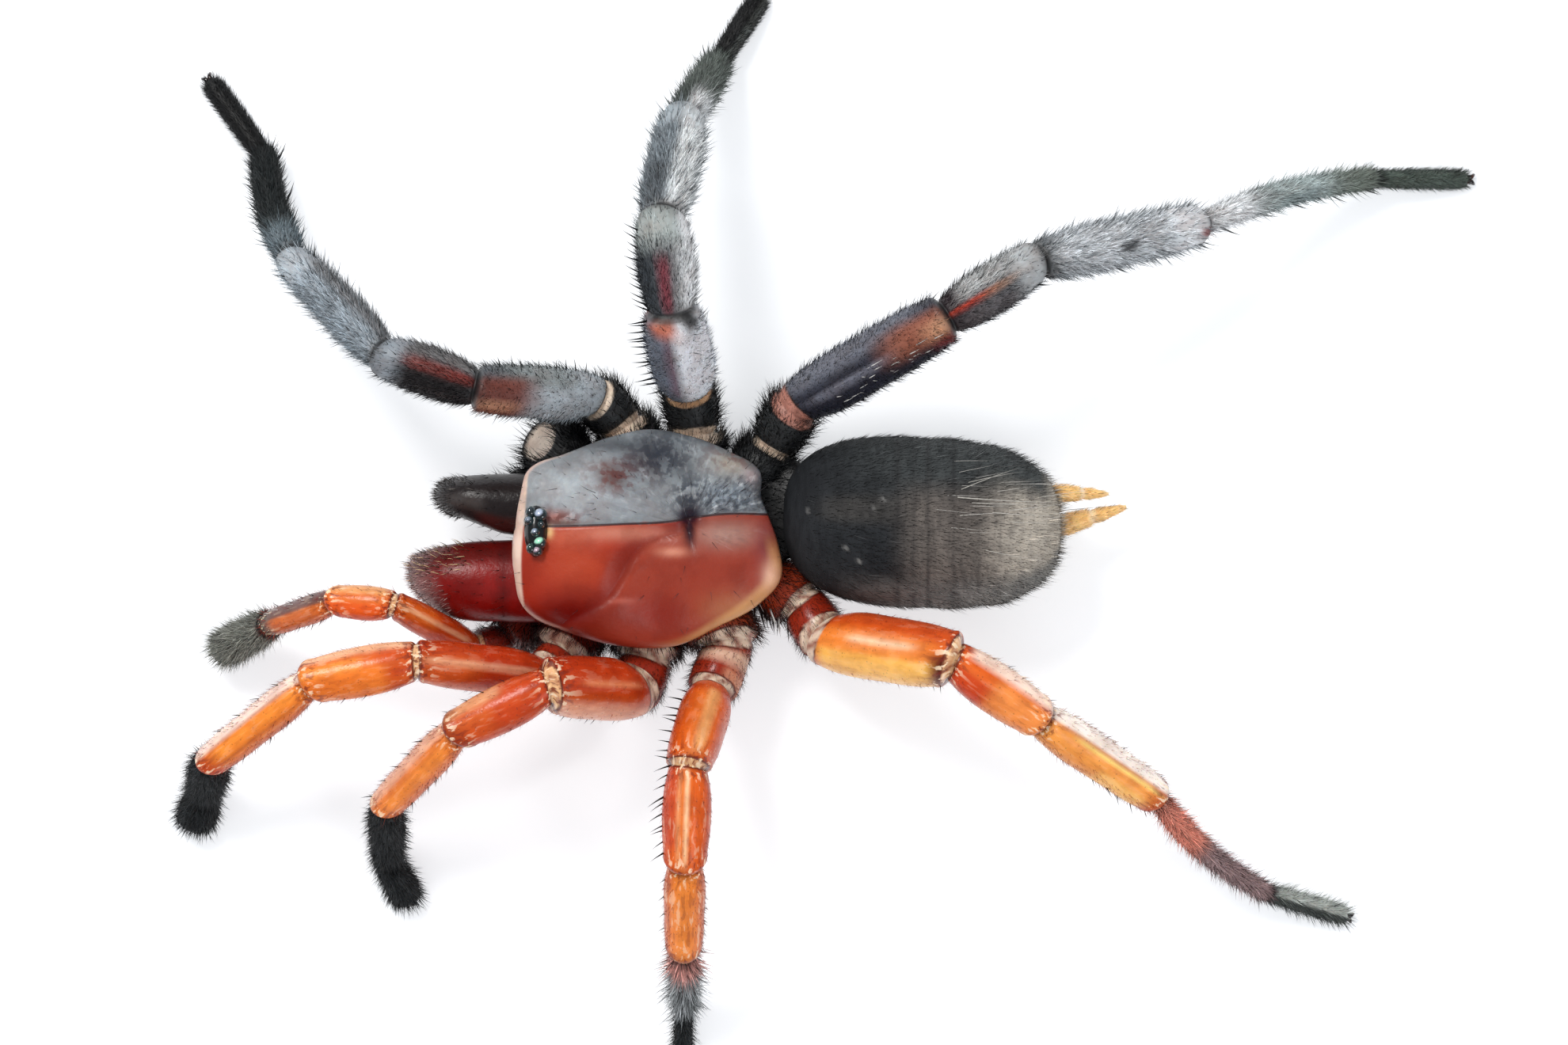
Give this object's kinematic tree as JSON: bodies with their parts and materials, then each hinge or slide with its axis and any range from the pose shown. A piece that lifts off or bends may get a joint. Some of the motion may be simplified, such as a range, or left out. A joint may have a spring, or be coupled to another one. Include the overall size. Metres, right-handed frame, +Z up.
{
  "type": "trapdoor spider model",
  "caption": "Life-size still model of a live trapdoor spider standing on its feet, orange-red on its left side and dark grey on its right, with an egg-shaped abdomen.",
  "frame": {"origin": "under the middle of the whole spider's box, on the floor that it stands on", "axes": "+X from the head towards the spinnerets, +Y towards the spider's right side, +Z up"},
  "size_m": [0.0462, 0.0394, 0.0085],
  "materials": {
    "carapace": "satin chitin, rust red on the left half and ash grey on the right half",
    "eyes": "wet black",
    "red_jaw": "polished dark red chitin with a hairy tip",
    "grey_jaw": "satin black-brown chitin",
    "fang": "polished near black",
    "orange_limb": "satin orange chitin with fine hairs, dark brushes on the front feet",
    "grey_limb": "grey chitin under fine pale hairs",
    "abdomen": "velvety near black with faint grey-brown bands",
    "spinneret": "amber skin"
  },
  "bodies": {
    "root": {"carapace": "carapace", "sternum": "carapace", "eyes": "eyes", "chelicera_left": "red_jaw", "fang_left": "fang", "chelicera_right": "grey_jaw", "fang_right": "fang", "pedicel": "abdomen", "abdomen": "abdomen", "spinneret_left": "spinneret", "spinneret_median": "spinneret", "spinneret_right": "spinneret", "leg_left_1_coxa": "orange_limb", "leg_left_1_femur": "orange_limb", "leg_left_1_patella": "orange_limb", "leg_left_1_tibia": "orange_limb", "leg_left_1_foot": "orange_limb", "leg_left_2_coxa": "orange_limb", "leg_left_2_femur": "orange_limb", "leg_left_2_patella": "orange_limb", "leg_left_2_tibia": "orange_limb", "leg_left_2_foot": "orange_limb", "leg_left_3_coxa": "orange_limb", "leg_left_3_femur": "orange_limb", "leg_left_3_patella": "orange_limb", "leg_left_3_tibia": "orange_limb", "leg_left_3_foot": "orange_limb", "leg_left_4_coxa": "orange_limb", "leg_left_4_femur": "orange_limb", "leg_left_4_patella": "orange_limb", "leg_left_4_tibia": "orange_limb", "leg_left_4_foot": "orange_limb", "palp_left_coxa": "orange_limb", "palp_left_femur": "orange_limb", "palp_left_patella": "orange_limb", "palp_left_tibia": "orange_limb", "palp_left_tarsus": "orange_limb", "leg_right_2_coxa": "grey_limb", "leg_right_2_femur": "grey_limb", "leg_right_2_patella": "grey_limb", "leg_right_2_tibia": "grey_limb", "leg_right_2_foot": "grey_limb", "leg_right_3_coxa": "grey_limb", "leg_right_3_femur": "grey_limb", "leg_right_3_patella": "grey_limb", "leg_right_3_tibia": "grey_limb", "leg_right_3_foot": "grey_limb", "leg_right_4_coxa": "grey_limb", "leg_right_4_femur": "grey_limb", "leg_right_4_patella": "grey_limb", "leg_right_4_tibia": "grey_limb", "leg_right_4_foot": "grey_limb", "palp_right_coxa": "grey_limb", "palp_right_femur": "grey_limb", "palp_right_patella": "grey_limb", "palp_right_tibia": "grey_limb", "palp_right_tarsus": "grey_limb", "leg_right_1_coxa": "grey_limb"}
  },
  "joints": []
}
